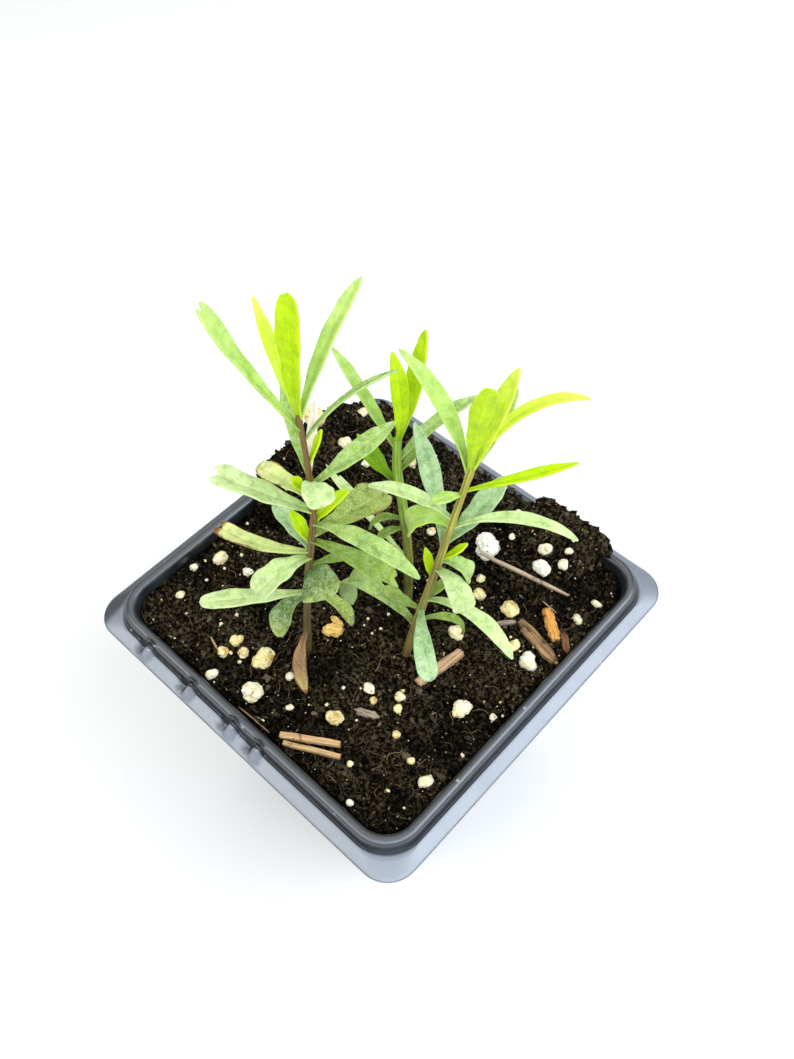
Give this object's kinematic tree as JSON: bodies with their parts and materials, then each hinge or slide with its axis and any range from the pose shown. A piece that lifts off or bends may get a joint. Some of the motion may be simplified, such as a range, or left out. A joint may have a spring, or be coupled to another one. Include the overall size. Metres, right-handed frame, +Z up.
{
  "type": "potted tarragon plant",
  "caption": "Young herb plant with long narrow leaves on upright stems, growing in peat soil in a square thin plastic nursery pot.",
  "frame": {"origin": "centre of the pot's flat foot, on the surface that the pot stands on", "axes": "+Z up along the pot's axis; X and Y run along the square pot's sides"},
  "size_m": [0.089, 0.089, 0.1659],
  "materials": {
    "black_plastic": "thin formed black plastic with a soft sheen",
    "peat_soil": "rough dark peat mix",
    "tarragon_leaf": "soft matt green leaf, brown lower stem",
    "perlite": "rough off-white mineral grain",
    "bark": "dry split wood and bark"
  },
  "bodies": {
    "root": {"pot": "black_plastic", "soil": "peat_soil", "leafy_stem_left": "tarragon_leaf", "leafy_stem_middle": "tarragon_leaf", "leafy_stem_right": "tarragon_leaf", "perlite_01": "perlite", "perlite_02": "perlite", "perlite_03": "perlite", "perlite_04": "perlite", "perlite_05": "perlite", "perlite_06": "perlite", "perlite_07": "perlite", "perlite_08": "perlite", "perlite_09": "perlite", "perlite_10": "perlite", "perlite_11": "perlite", "perlite_12": "perlite", "perlite_13": "perlite", "perlite_14": "perlite", "perlite_15": "perlite", "perlite_16": "perlite", "perlite_17": "perlite", "perlite_18": "perlite", "perlite_19": "perlite", "perlite_20": "perlite", "perlite_21": "perlite", "perlite_22": "perlite", "perlite_23": "perlite", "perlite_24": "perlite", "split_stick_upper": "bark", "split_stick_lower": "bark", "twig": "bark", "bark_chip": "bark", "orange_bark": "bark", "wood_chip": "bark", "bark_sliver": "bark"}
  },
  "joints": []
}
